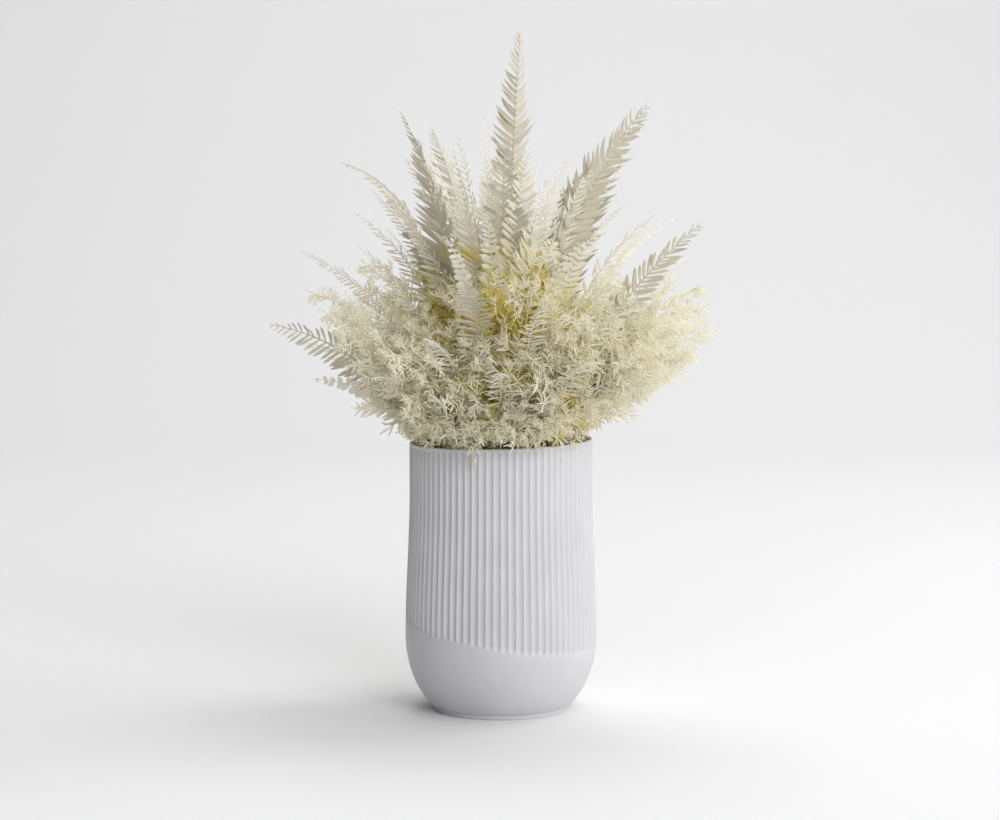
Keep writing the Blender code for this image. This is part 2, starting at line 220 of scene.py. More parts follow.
def flute_depth(height, angle):
    """How deep the pressed flutes are at a level height; each ends in a round tongue."""
    across = (angle / math.tau * FLUTES) % 1 * 2 - 1
    half = math.pi * BELLY_RADIUS / FLUTES
    room = height - FLUTE_END
    if room <= 0 or height > POT_HEIGHT - FLUTE_TOP:
        return 0.0
    tongue = min(room / (half * TONGUE_LENGTH), 1)
    open_half = math.sqrt(1 - (1 - tongue) ** 2)
    if abs(across) >= open_half:
        return 0.0
    run_out = min(1, (POT_HEIGHT - FLUTE_TOP - height) / FLUTE_RUN_OUT)
    return FLUTE_DEPTH * (1 - (across / open_half) ** 2) * min(1, 0.35 + tongue) * run_out


bowl_heights = [FOOT_HEIGHT + (FLUTE_END - FOOT_HEIGHT) * (step / 22) ** 1.25 for step in range(23)]
tongue_heights = [FLUTE_END + END_ZONE * step / 9 for step in range(1, 10)]
wall_low, wall_high = tongue_heights[-1], POT_HEIGHT - FLUTE_TOP - END_ZONE
wall_heights = [wall_low + (wall_high - wall_low) * step / 16 for step in range(1, 17)]
top_heights = [wall_high + END_ZONE * step / 9 for step in range(1, 10)]
# Underneath: a shallow hollow inside the foot ring, then the ring's worn-round edge.
outline = [(0, FOOT_HOLLOW), (0.040, FOOT_HOLLOW), (FOOT_RADIUS - 0.004, FOOT_HOLLOW)]
outline += [(FOOT_RADIUS - 0.0025, 0.0002), (FOOT_RADIUS - 0.0012, 0), (FOOT_RADIUS - 0.0004, 0.0004)]
outline += [(FOOT_RADIUS, 0.0013), (FOOT_RADIUS, FOOT_HEIGHT - 0.0006)]
outline += [(FOOT_RADIUS + 0.0004, FOOT_HEIGHT - 0.0001)]
outline += [(outer_radius(h), h) for h in bowl_heights + tongue_heights + wall_heights + top_heights]
for turn in range(9):
    round_off = math.radians(180 * turn / 8)
    lip_radius = NECK_RADIUS - LIP / 2 + math.cos(round_off) * LIP / 2
    outline.append((lip_radius, POT_HEIGHT - LIP / 2 + math.sin(round_off) * LIP / 2))
# Inside: the wall thickens below the lip and rounds into the floor.
for step in range(1, 25):
    height = POT_HEIGHT - LIP / 2 - (POT_HEIGHT - LIP / 2 - POT_FLOOR - COVE_HEIGHT) * step / 24
    into_lip = min(max((height - POT_HEIGHT + LIP_HEIGHT) / LIP_HEIGHT, 0), 1)
    outline.append((outer_radius(height) - WALL - (LIP - WALL) * into_lip, height))
cove = outline[-1][0]
outline += [(cove - 0.003, POT_FLOOR + 0.005), (cove - 0.010, POT_FLOOR)]
outline += [(0.030, POT_FLOOR), (0, POT_FLOOR)]

body = bmesh.new()
profile = [body.verts.new((radius, 0, height)) for radius, height in outline]
edges = [body.edges.new(pair) for pair in zip(profile, profile[1:])]
bmesh.ops.spin(
    body,
    geom=profile + edges,
    cent=(0, 0, 0),
    axis=(0, 0, 1),
    angle=math.tau,
    steps=FLUTES * FLUTE_STEPS,
    use_merge=True,
)
bmesh.ops.remove_doubles(body, verts=body.verts, dist=1e-6)
for vert in body.verts:
    radius = math.hypot(vert.co.x, vert.co.y)
    if radius < 1e-6:
        continue
    angle = math.atan2(vert.co.y, vert.co.x)
    height = vert.co.z
    outside = radius > outer_radius(height) - LIP / 2 and height > FOOT_HEIGHT
    new_radius, new_height = slanted(radius, height, angle)
    if outside:
        new_radius -= flute_depth(height, angle)
    vert.co = (new_radius * math.cos(angle), new_radius * math.sin(angle), new_height)
bmesh.ops.recalc_face_normals(body, faces=body.faces)

# A matt glaze is a thin glass full of fine crystals: a broad dull sheen, no sharp reflections. It pools
# a little unevenly, over patches of about 40 mm, and shows a few iron specks from the clay.
glaze, glaze_tree, glaze_shader = new_material(
    "Glazed stoneware, matt white", {"Roughness": 0.5, "IOR": 1.5}
)
place = add(glaze_tree, "ShaderNodeTexCoord").outputs["Object"]
pooling = add(
    glaze_tree,
    "ShaderNodeTexNoise",
    {"Scale": 1000 / 40, "Detail": 3.0, "Roughness": 0.55},
    {"Vector": place},
)
tint = add(glaze_tree, "ShaderNodeValToRGB", {}, {"Fac": pooling.outputs["Fac"]})
tint.color_ramp.elements[0].position = 0.3
tint.color_ramp.elements[0].color = colour("#c4c3c5")
tint.color_ramp.elements[1].position = 0.7
tint.color_ramp.elements[1].color = colour("#cacacc")
specks = add(glaze_tree, "ShaderNodeTexVoronoi", {"Scale": 1000 / 17}, {"Vector": place})
speck = add(glaze_tree, "ShaderNodeValToRGB", {}, {"Fac": specks.outputs["Distance"]})
speck.color_ramp.elements[0].position = 0.018
speck.color_ramp.elements[0].color = (1, 1, 1, 1)
speck.color_ramp.elements[1].position = 0.034
speck.color_ramp.elements[1].color = (0, 0, 0, 1)
speckled = add(
    glaze_tree,
    "ShaderNodeMixRGB",
    {"Color2": colour("#5f5a55")},
    {"Fac": speck.outputs["Color"], "Color1": tint.outputs["Color"]},
)
grit = add(glaze_tree, "ShaderNodeTexNoise", {"Scale": 1000 / 0.9, "Detail": 2.0}, {"Vector": place})
ripple = add(glaze_tree, "ShaderNodeTexNoise", {"Scale": 1000 / 14, "Detail": 1.0}, {"Vector": place})
unevenness = add(
    glaze_tree,
    "ShaderNodeMath",
    {"operation": "MULTIPLY_ADD", 1: 0.12},
    {0: grit.outputs["Fac"], 2: ripple.outputs["Fac"]},
)
bump = add(
    glaze_tree,
    "ShaderNodeBump",
    {"Strength": 0.35, "Distance": 0.0006},
    {"Height": unevenness.outputs["Value"]},
)
glaze_tree.links.new(speckled.outputs["Color"], glaze_shader.inputs["Base Color"])
glaze_tree.links.new(bump.outputs["Normal"], glaze_shader.inputs["Normal"])

pot = show("stoneware_pot", body, glaze, 32)
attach(pot, "pot")
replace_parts(pot, "pot")


# ---- Foam plug ----
# A block of dense green floral foam, cut round and wedged in the neck to grip every stem. It is only
# seen when the planting is lifted out.

# The foam's open cells, about 1.2 mm across, give it a flat, dusty look.
foam, foam_tree, foam_shader = new_material("Foamed phenolic resin", {"Roughness": 0.95})
place = add(foam_tree, "ShaderNodeTexCoord").outputs["Object"]
cells = add(foam_tree, "ShaderNodeTexVoronoi", {"Scale": 1000 / 1.2}, {"Vector": place})
# Painted shade: the green darkens down into each cell's hollow, where the bump sinks.
foam_green_and_pore_shade = add(foam_tree, "ShaderNodeValToRGB", {}, {"Fac": cells.outputs["Distance"]})
foam_green_and_pore_shade.color_ramp.elements[0].color = colour("#3f4f2a")
foam_green_and_pore_shade.color_ramp.elements[1].color = colour("#62764a")
foam_bump = add(
    foam_tree,
    "ShaderNodeBump",
    {"Strength": 0.8, "Distance": 0.0005},
    {"Height": cells.outputs["Distance"]},
)
foam_tree.links.new(foam_green_and_pore_shade.outputs["Color"], foam_shader.inputs["Base Color"])
foam_tree.links.new(foam_bump.outputs["Normal"], foam_shader.inputs["Normal"])
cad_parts["foam_plug"].data.materials[0] = foam


# ---- Moss ----
# A pad of preserved sheet moss laid over the foam, brown and olive, with short fibres standing out
# of it. The stems push through it.

MOSS_DROP = 0.010
MOSS_THICKNESS = 0.014
MOSS_CROWN = 0.003
MOSS_TOP = POT_HEIGHT - NECK_RADIUS * math.tan(RIM_TILT) - MOSS_DROP
MOSS_GAP = 0.0006  # between the pad and the pot's wall
MOSS_FIBRES = 700
NECK_BORE = NECK_RADIUS - WALL


def moss_height(radius):
    """The pad's top, a little higher in the middle."""
    return MOSS_TOP + MOSS_CROWN * (1 - (radius / NECK_BORE) ** 2)


def as_mesh(bm, name):
    """Keep a shape to be laid many times."""
    mesh = bpy.data.meshes.new(name)
    bm.to_mesh(mesh)
    bm.free()
    return mesh


def lay(bm, mesh, matrix):
    """Lay one copy of a shape into a piece that is being built."""
    copy = mesh.copy()
    copy.transform(matrix)
    if matrix.determinant() < 0:
        copy.flip_normals()
    bm.from_mesh(copy)
    bpy.data.meshes.remove(copy)


def strand(length, width, bend, taper=0.5):
    """One moulded needle or fibre along +Y from the origin, three-sided and bent once."""
    bm = bmesh.new()
    bmesh.ops.create_cone(
        bm, cap_ends=True, segments=3, radius1=0.5, radius2=0.5 * taper, depth=1,
        matrix=Matrix.Translation((0, 0.5, 0)) @ Matrix.Rotation(math.radians(-90), 4, "X"),
    )
    geometry = bm.verts[:] + bm.edges[:] + bm.faces[:]
    bmesh.ops.bisect_plane(bm, geom=geometry, plane_co=(0, 0.45, 0), plane_no=(0, 1, 0))
    for vert in bm.verts:
        along = vert.co.y
        swell = 0.75 + 0.5 * math.sin(math.pi * along)
        vert.co.x = vert.co.x * width * swell
        vert.co.z = vert.co.z * width * 0.6 * swell + bend * length * along * along
        vert.co.y = along * length
    bmesh.ops.recalc_face_normals(bm, faces=bm.faces)
    return as_mesh(bm, "strand")


chance = random.Random(7)
pad = bmesh.new()
bmesh.ops.create_icosphere(pad, subdivisions=6, radius=1.0)
for vert in pad.verts:
    # The ball is pressed into a flat cake, and its surface is roughened in lumps of 11 mm and 3 mm.
    around = vert.co.normalized()
    flat = math.hypot(around.x, around.y)
    spread = min(flat, 1) ** 0.6
    turn = math.atan2(around.y, around.x)
    radius = (NECK_BORE - MOSS_GAP) * spread
    thick = math.copysign(min(abs(around.z) * 2.2, 1), around.z)
    vert.co = (radius * math.cos(turn), radius * math.sin(turn), 0)
    lump = noise.noise(vert.co * 90) * 0.0016 + noise.noise(vert.co * 320) * 0.0009
    middle = moss_height(radius) - MOSS_THICKNESS / 2
    vert.co.z = middle + thick * (MOSS_THICKNESS / 2 - 0.001) + (lump if thick > 0 else 0)
fibre = strand(0.009, 0.0005, 0.5)
for count in range(MOSS_FIBRES):
    radius = (NECK_BORE - 0.003) * math.sqrt(chance.random())
    turn = chance.random() * math.tau
    root = Vector((radius * math.cos(turn), radius * math.sin(turn), moss_height(radius) - 0.0025))
    lean = Matrix.Rotation(chance.random() * math.tau, 4, "Z") @ Matrix.Rotation(
        math.radians(chance.uniform(15, 70)), 4, "X"
    )
    if radius < NECK_BORE - 0.010:
        lay(pad, fibre, Matrix.Translation(root) @ lean)

# Dried and dyed moss reflects no highlights at all: brown and olive clumps about 7 mm across, with
# threads that are drawn 0.8 mm wide so that they show.
preserved_moss, moss_tree, moss_shader = new_material("Preserved sheet moss", {"Roughness": 0.95})
place = add(moss_tree, "ShaderNodeTexCoord").outputs["Object"]
clumps = add(moss_tree, "ShaderNodeTexNoise", {"Scale": 1000 / 7, "Detail": 4.0}, {"Vector": place})
moss_tint = add(moss_tree, "ShaderNodeValToRGB", {}, {"Fac": clumps.outputs["Fac"]})
moss_tint.color_ramp.elements[0].position = 0.35
moss_tint.color_ramp.elements[0].color = colour("#2e2412")
moss_tint.color_ramp.elements[1].position = 0.68
moss_tint.color_ramp.elements[1].color = colour("#6b5f33")
threads = add(moss_tree, "ShaderNodeTexNoise", {"Scale": 1000 / 0.8, "Detail": 2.0}, {"Vector": place})
moss_bump = add(
    moss_tree,
    "ShaderNodeBump",
    {"Strength": 0.9, "Distance": 0.0008},
    {"Height": threads.outputs["Fac"]},
)
moss_tree.links.new(moss_tint.outputs["Color"], moss_shader.inputs["Base Color"])
moss_tree.links.new(moss_bump.outputs["Normal"], moss_shader.inputs["Normal"])
moss = show("moss_pad", pad, preserved_moss)
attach(moss, "planting")
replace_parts(moss, "moss_layer")


# ---- Wired stems ----
# Each large frond has a steel wire in a pale, paper-like plastic sleeve, so that it can be bent
# where it leaves the moss. The buried pick keeps it in the foam.

FIT = 0.0003
STEM_RADIUS = 0.0016
STEM_TIP_RADIUS = 0.0011
STEM_SHARE = 0.30  # of the frond's length, before the leaf starts
STEM_IN_LEAF = 0.008
ROOT_DEPTH = 0.300  # every root points at one spot, this far below the moss
BASE_SPREAD = NECK_BORE - 0.0195
OUTER_LEAN = math.radians(62)  # a stalk that leans this far or more stands farthest out
EXIT_SHARE = 0.55
HANDLE = 0.36
HINGE_END = 0.0014  # how far the wire's rounded end stands behind its hinge
FRONDS = {
    # azimuth round the pot, how far out and how high the tip is, and how much it droops, in degrees
    "tall_back": (71, 0.053, 0.376, 4),
    "front_centre": (273, 0.060, 0.280, 8),
    "left_upright": (178, 0.088, 0.302, 12),
    "left_broad": (217, 0.091, 0.277, 0),
    "left_arching": (164, 0.149, 0.259, 44),
    "right_tall": (5, 0.129, 0.307, 22),
    "right_second": (335, 0.134, 0.293, 24),
    "low_left": (190, 0.206, 0.117, 20),
    "front_nodding": (258, 0.158, 0.160, 34),
    "far_right": (351, 0.178, 0.205, 10),
    "back_left": (122, 0.120, 0.290, 18),
    "back_right": (46, 0.135, 0.270, 34),
}


class Stalk:
    """The centre line of a frond or a spray, in the upright plane at its azimuth."""

    def __init__(self, azimuth, reach, rise, droop):
        angle = math.radians(azimuth)
        self.out = Vector((math.cos(angle), math.sin(angle), 0))
        self.side = Vector((-math.sin(angle), math.cos(angle), 0))
        chord = math.atan2(reach, rise)
        base = BASE_SPREAD * min(chord / OUTER_LEAN, 1)
        self.foot = self.out * base + Vector((0, 0, moss_height(base)))
        self.root_lean = math.atan2(base, ROOT_DEPTH)
        self.exit_lean = chord * EXIT_SHARE
        self.tip_lean = chord + math.radians(droop)
        self.tip = self.out * reach + Vector((0, 0, MOSS_TOP + rise))

    def heading(self, lean):
        """The direction that leans outwards by this angle."""
        return self.out * math.sin(lean) + Vector((0, 0, math.cos(lean)))

    def curve(self, start, lean, count):
        """Points from the start, which it leaves at this lean, to the tip."""
        handle = (self.tip - start).length * HANDLE
        leaving = start + self.heading(lean) * handle
        arriving = self.tip - self.heading(self.tip_lean) * handle
        return interpolate_bezier(start, leaving, arriving, self.tip, count)

    def below(self, depth):
        """The point of the root this deep in the moss and foam."""
        return self.foot - self.heading(self.root_lean) * depth

    def pivot(self):
        """Where a wire bends, just above the moss."""
        return self.foot + Vector((0, 0, STEM_RADIUS + FIT))


def tubes(bm, runs, resolution=2):
    """Round closed tubes along runs of (point, radius), drawn as one curve with a bevel."""
    curve = bpy.data.curves.new("tubes", "CURVE")
    curve.dimensions = "3D"
    curve.bevel_depth = 1.0
    curve.bevel_resolution = resolution
    curve.use_fill_caps = True
    for run in runs:
        spline = curve.splines.new("POLY")
        spline.points.add(len(run) - 1)
        for point, (centre, radius) in zip(spline.points, run):
            point.co = (*centre, 1)
            point.radius = radius
    draft = bpy.data.objects.new("tubes", curve)
    mesh = bpy.data.meshes.new_from_object(draft)
    bm.from_mesh(mesh)
    bpy.data.meshes.remove(mesh)
    bpy.data.objects.remove(draft)
    bpy.data.curves.remove(curve)


def tapered(line, thick, thin):
    """A run along a line whose radius shrinks evenly."""
    last = max(len(line) - 1, 1)
    return [(point, thick + (thin - thick) * index / last) for index, point in enumerate(line)]


# The sleeve is half matt, and its straw colour is mottled in patches about 6 mm long.
sleeve, sleeve_tree, sleeve_shader = new_material("Extruded PVC sleeve", {"Roughness": 0.55})
place = add(sleeve_tree, "ShaderNodeTexCoord").outputs["Object"]
mottle = add(sleeve_tree, "ShaderNodeTexNoise", {"Scale": 1000 / 6, "Detail": 3.0}, {"Vector": place})
sleeve_tint = add(sleeve_tree, "ShaderNodeValToRGB", {}, {"Fac": mottle.outputs["Fac"]})
sleeve_tint.color_ramp.elements[0].position = 0.35
sleeve_tint.color_ramp.elements[0].color = colour("#9c8d5e")
sleeve_tint.color_ramp.elements[1].position = 0.7
sleeve_tint.color_ramp.elements[1].color = colour("#c4b98d")
sleeve_bump = add(
    sleeve_tree,
    "ShaderNodeBump",
    {"Strength": 0.4, "Distance": 0.0003},
    {"Height": mottle.outputs["Fac"]},
)
sleeve_tree.links.new(sleeve_tint.outputs["Color"], sleeve_shader.inputs["Base Color"])
sleeve_tree.links.new(sleeve_bump.outputs["Normal"], sleeve_shader.inputs["Normal"])

stalks = {}
for name, row in FRONDS.items():
    stalk = Stalk(*row)
    line = stalk.curve(stalk.pivot(), stalk.exit_lean, 40)
    leaf_start = round(STEM_SHARE * (len(line) - 1))
    stalks[name] = (stalk, line[leaf_start:])
    along = (line[1] - line[0]).normalized()
    into_leaf = (line[leaf_start + 1] - line[leaf_start]).normalized() * STEM_IN_LEAF
    wire = bmesh.new()
    run = [(line[0] - along * HINGE_END, 0.0008), (line[0] - along * 0.0008, 0.0014)]
    run += tapered(line[: leaf_start + 1] + [line[leaf_start] + into_leaf], STEM_RADIUS, STEM_TIP_RADIUS)
    tubes(wire, [run], 3)
    piece = show(f"{name}_wire", wire, sleeve)
    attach(piece, f"{name}_frond")
    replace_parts(piece, f"{name}_stem")
    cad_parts[f"{name}_pick"].data.materials[0] = sleeve


# ---- Fern fronds ----
# Moulded polyethylene leaves in a bleached cream. Each has a round midrib with a socket that slips over
# the wire, and two rows of thin leaflets, each folded a little along its middle.

HEART_HEIGHT = MOSS_TOP + 0.075
HEART_GLOW_REACH = (0.150, 0.140, 0.185)  # how far the painted yellow glow of the heart spreads each way
LEAFLET_FOLD = math.radians(14)
BARE_SHARE = 0.06  # of the midrib, before its first leaflets
RIB_RADIUS = 0.0013
RIB_TIP_RADIUS = 0.0003
SOCKET_RADIUS = 0.0021


def bleached(name, outer, deep, clearness, gloss=0.5):
    """Soft bleached plastic: half matt, and thin enough that light from behind shows through it. The
    bleach has left it patchy over about 28 mm. Towards the plant's heart its colour is painted a bright
    yellow: painted light that stands for light shining through many leaves, and that also lifts the shade
    in there."""
    material, tree, shader = new_material(name, {"Roughness": gloss, "IOR": 1.45})
    place = add(tree, "ShaderNodeTexCoord").outputs["Object"]
    # Painted light: the colour turns a bright yellow towards the plant's heart, for light shining through
    # many leaves, and lifts the shade there.
    centred = add(
        tree,
        "ShaderNodeVectorMath",
        {"operation": "SUBTRACT", 1: (0, 0, HEART_HEIGHT)},
        {0: place},
    )
    squeezed = add(
        tree,
        "ShaderNodeVectorMath",
        {"operation": "MULTIPLY", 1: [1 / reach for reach in HEART_GLOW_REACH]},
        {0: centred.outputs["Vector"]},
    )
    away = add(tree, "ShaderNodeVectorMath", {"operation": "LENGTH"}, {0: squeezed.outputs["Vector"]})
    patch = add(tree, "ShaderNodeTexNoise", {"Scale": 1000 / 28, "Detail": 3.0}, {"Vector": place})
    patches_and_glow = add(
        tree,
        "ShaderNodeMath",
        {"operation": "MULTIPLY_ADD", 1: 0.7},
        {0: patch.outputs["Fac"], 2: away.outputs["Value"]},
    )
    ramp = add(tree, "ShaderNodeValToRGB", {}, {"Fac": patches_and_glow.outputs["Value"]})
    ramp.color_ramp.elements[0].position = 0.9
    ramp.color_ramp.elements[0].color = colour(deep)
    ramp.color_ramp.elements[1].position = 1.3
    ramp.color_ramp.elements[1].color = colour(outer)
    ripple = add(tree, "ShaderNodeTexNoise", {"Scale": 1000 / 1.5, "Detail": 1.0}, {"Vector": place})
    bump = add(
        tree,
        "ShaderNodeBump",
        {"Strength": 0.25, "Distance": 0.0003},
        {"Height": ripple.outputs["Fac"]},
    )
    tree.links.new(ramp.outputs["Color"], shader.inputs["Base Color"])
    tree.links.new(bump.outputs["Normal"], shader.inputs["Normal"])
    through = add(tree, "ShaderNodeBsdfTranslucent", {}, {"Color": ramp.outputs["Color"]})
    mixed = add(
        tree,
        "ShaderNodeMixShader",
        {"Fac": clearness},
        {1: shader.outputs["BSDF"], 2: through.outputs["BSDF"]},
    )
    tree.links.new(mixed.outputs["Shader"], tree.nodes["Material Output"].inputs["Surface"])
    return material


def leaflet(width, shape, rows, fold, sweep, curl, thick=0.016):
    """A thin closed leaflet of unit length along +Y, folded along its middle, its face up. It sweeps
    towards the frond's tip and curls down."""
    bm = bmesh.new()
    bmesh.ops.create_grid(bm, x_segments=2, y_segments=rows, size=0.5)
    for vert in bm.verts:
        along = vert.co.y + 0.5
        across = vert.co.x * 2
        half = width / 2 * shape(along)
        sag = curl * along * along
        vert.co = (across * half + sweep * along * along, along, fold * abs(across) * half - sag)
    bmesh.ops.solidify(bm, geom=bm.faces[:], thickness=thick)
    bmesh.ops.recalc_face_normals(bm, faces=bm.faces)
    return as_mesh(bm, "leaflet")


# Each outline gives a leaflet's width at a share of its length, against the width it is made with.
def sword_shape(along):
    return max(1 - along, 0.0) ** 0.55 * (0.75 + 0.35 * math.sin(math.pi * along)) + 0.03


def finger_shape(along):
    return (0.42 + 0.58 * math.sin(math.pi * min(along * 1.15, 1) / 2)) * max(1 - along**6, 0.04) ** 0.5


def spoon_shape(along):
    return (0.28 + 0.72 * math.sin(math.pi * (along**1.3)) ** 0.7) * max(1 - along**8, 0.04)


def button_shape(along):
    return max(math.sin(math.pi * (0.06 + 0.90 * along)), 0.04) ** 0.55


SHAPES = {
    # widest, outline, rows of facets, fold, sweep and curl, all as shares of the leaflet's length
    "sword": leaflet(0.20, sword_shape, 6, 0.35, 0.22, 0.16),
    "finger": leaflet(0.17, finger_shape, 5, 0.25, 0.05, 0.10),
    "linear": leaflet(0.115, finger_shape, 5, 0.2, 0.06, 0.16),
    "spoon": leaflet(0.34, spoon_shape, 6, 0.2, 0.04, 0.08),
    "button": leaflet(0.72, button_shape, 6, 0.2, 0.03, 0.06, 0.03),
}


def arc_points(line, spacing):
    """Points along a line at an even spacing, each with its tangent and its share of the length."""
    lengths = [0.0]
    for before, after in zip(line, line[1:]):
        lengths.append(lengths[-1] + (after - before).length)
    total = lengths[-1]
    found, index, reached = [], 0, 0.0
    while reached <= total:
        while index < len(line) - 2 and lengths[index + 1] < reached:
            index += 1
        step = line[index + 1] - line[index]
        point = line[index] + step * ((reached - lengths[index]) / step.length)
        found.append((point, step.normalized(), reached / total))
        reached += spacing
    return found


def feather(bm, line, side, roll, kind, reach, spacing, angles, chance, swell=0.55):
    """Both rows of leaflets along a midrib. reach is the longest leaflet, angles are the leaflets'
    lean from the midrib at the base and at the tip, and swell sets where the blade is widest."""
    for point, along, share in arc_points(line, spacing)[1:]:
        if share < BARE_SHARE:
            continue
        across = Matrix.Rotation(roll, 3, along) @ side
        across = (across - along * across.dot(along)).normalized()
        face = across.cross(along).normalized()
        length = reach * max(math.sin(math.pi * (0.03 + 0.95 * share) ** swell), 0.0) ** 0.65 + 0.0012
        for hand in (1, -1):
            lean = math.radians(angles[0] + (angles[1] - angles[0]) * share + chance.gauss(0, 5))
            lift = LEAFLET_FOLD + math.radians(chance.gauss(0, 12))
            outward = across * hand * math.cos(lift) + face * math.sin(lift)
            up = (face * math.cos(lift) - across * hand * math.sin(lift)).normalized()
            ahead = along * math.cos(lean) + outward * math.sin(lean)
            tipward = along * math.sin(lean) - outward * math.cos(lean)
            size = length * chance.uniform(0.86, 1.08)
            axes = Matrix((tipward * size, ahead * size, -up * size)).transposed()
            start = point + along * chance.uniform(-0.12, 0.12) * spacing
            lay(bm, SHAPES[kind], Matrix.Translation(start) @ axes.to_4x4())


fern_cream = bleached("Moulded polyethylene, large fern", "#dcd7c5", "#e8e09c", 0.35)
STYLES = {
    # leaflet, longest leaflet, spacing, lean at the base and the tip, where the blade is widest, and how
    # far the blade is turned about its midrib: most of them face the front
    "tall_back": ("sword", 0.029, 0.0056, (84, 42), 0.60, 36),
    "front_centre": ("finger", 0.030, 0.0052, (80, 46), 0.50, 0),
    "left_upright": ("sword", 0.025, 0.0054, (74, 38), 0.55, 30),
    "left_broad": ("sword", 0.032, 0.0058, (78, 42), 0.62, -2),
    "left_arching": ("spoon", 0.019, 0.0066, (66, 46), 0.55, -12),
    "right_tall": ("sword", 0.034, 0.0060, (70, 46), 0.62, -78),
    "right_second": ("spoon", 0.022, 0.0066, (66, 44), 0.55, -40),
    "low_left": ("finger", 0.021, 0.0054, (72, 52), 0.62, 58),
    "front_nodding": ("linear", 0.024, 0.0036, (74, 46), 0.55, 0),
    "far_right": ("finger", 0.023, 0.0050, (54, 36), 0.60, -60),
    "back_left": ("sword", 0.028, 0.0056, (76, 42), 0.60, 4),
    "back_right": ("spoon", 0.023, 0.0066, (68, 42), 0.55, 0),
}
for name, (kind, reach, spacing, angles, swell, turn) in STYLES.items():
    stalk, line = stalks[name]
    chance = random.Random(name)
    blade = bmesh.new()
    rib = tapered(line, RIB_RADIUS, RIB_TIP_RADIUS)
    mouth = line[0] + (line[1] - line[0]) * 0.1
    socket = [(mouth, SOCKET_RADIUS), (line[1], SOCKET_RADIUS), (line[2], 0.0015)]
    tubes(blade, [rib, socket], 2)
    feather(blade, line, stalk.side, math.radians(turn), kind, reach, spacing, angles, chance, swell)
    piece = show(f"{name}_blade", blade, fern_cream)
    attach(piece, f"{name}_frond")
    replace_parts(piece, f"{name}_leaf")


# ---- Asparagus sprays ----
# One-piece moulded polyethylene sprays on thick wiry stems, with antler-like twigs of needles. They
# stand straight in the foam and fill the whole dome.

ASPARAGUS = (
    # azimuth round the pot, how far out and how high the tip is, and how much it droops, in degrees
    (13, 0.182, 0.145, 22),
    (326, 0.160, 0.100, 26),
    (12, 0.188, 0.105, 22),
    (300, 0.140, 0.125, 30),
    (288, 0.130, 0.185, 24),
    (236, 0.158, 0.095, 30),
    (212, 0.165, 0.120, 24),
    (172, 0.165, 0.140, 24),
    (60, 0.160, 0.130, 28),
    (90, 0.165, 0.110, 28),
    (125, 0.165, 0.120, 28),
)
# More of the same between them, with no solids of their own.
FILLERS = (
    (262, 0.103, 0.100, 34),
    (245, 0.090, 0.140, 26),
    (276, 0.069, 0.130, 24),
    (318, 0.107, 0.140, 26),
    (345, 0.150, 0.120, 24),
    (30, 0.125, 0.140, 24),
    (70, 0.110, 0.140, 24),
    (105, 0.110, 0.140, 24),
    (145, 0.120, 0.140, 24),
    (190, 0.150, 0.125, 24),
    (225, 0.107, 0.120, 26),
    (200, 0.060, 0.155, 16),
    (300, 0.052, 0.140, 16),
    (80, 0.055, 0.150, 16),
    (214, 0.129, 0.080, 28),
    (252, 0.107, 0.070, 36),
    (268, 0.086, 0.155, 22),
    (284, 0.107, 0.090, 34),
    (308, 0.116, 0.100, 30),
    (331, 0.110, 0.150, 22),
    (352, 0.175, 0.130, 22),
    (3, 0.165, 0.090, 22),
    (182, 0.115, 0.165, 20),
    (236, 0.069, 0.150, 20),
    (160, 0.150, 0.100, 24),
    (50, 0.140, 0.090, 26),
    (25, 0.165, 0.110, 24),
    (340, 0.140, 0.085, 26),
    (296, 0.099, 0.060, 36),
    (232, 0.120, 0.060, 34),
)
# Short ones that hide the stems just above the rim.
SKIRT = (
    (8, 0.104, 0.078, 14),
    (33, 0.110, 0.066, 16),
    (58, 0.115, 0.058, 20),
    (83, 0.118, 0.052, 26),
    (108, 0.115, 0.052, 26),
    (133, 0.115, 0.058, 20),
    (158, 0.110, 0.064, 16),
    (183, 0.108, 0.062, 14),
    (204, 0.106, 0.054, 20),
    (226, 0.106, 0.044, 30),
    (240, 0.104, 0.036, 38),
    (254, 0.104, 0.034, 42),
    (268, 0.104, 0.036, 44),
    (282, 0.104, 0.034, 44),
    (296, 0.106, 0.038, 40),
    (314, 0.108, 0.050, 32),
    (338, 0.104, 0.066, 20),
)
SPRAY_STEM_RADIUS = 0.0013
SPRAY_TIP_RADIUS = 0.0004
SPRAY_ROOT = 0.02  # how deep the modelled stem goes into the moss
GOLDEN_ANGLE = 137.5  # degrees from one branch to the next round the stem
LONGEST_BRANCH = 0.052
SHORTEST_BRANCH = 0.014
SKIRT_BRANCH = 0.032
TIP_TWIG = 0.018
RIGHT_EDGE = 0.200  # no branch reaches past the arrangement's own box
BACK_EDGE = 0.176
WALL_GAP = 0.0012  # kept between the foliage and the pot's wall

# The fine needles let more light through than the flat leaflets, and have a slightly waxier sheen.
asparagus_cream = bleached("Moulded polyethylene, asparagus", "#f8f5e7", "#faf2a9", 0.53, 0.45)
needle = strand(1.0, 0.19, 0.12, 0.8)
stick = strand(1.0, 0.06, 0.0, 0.6)


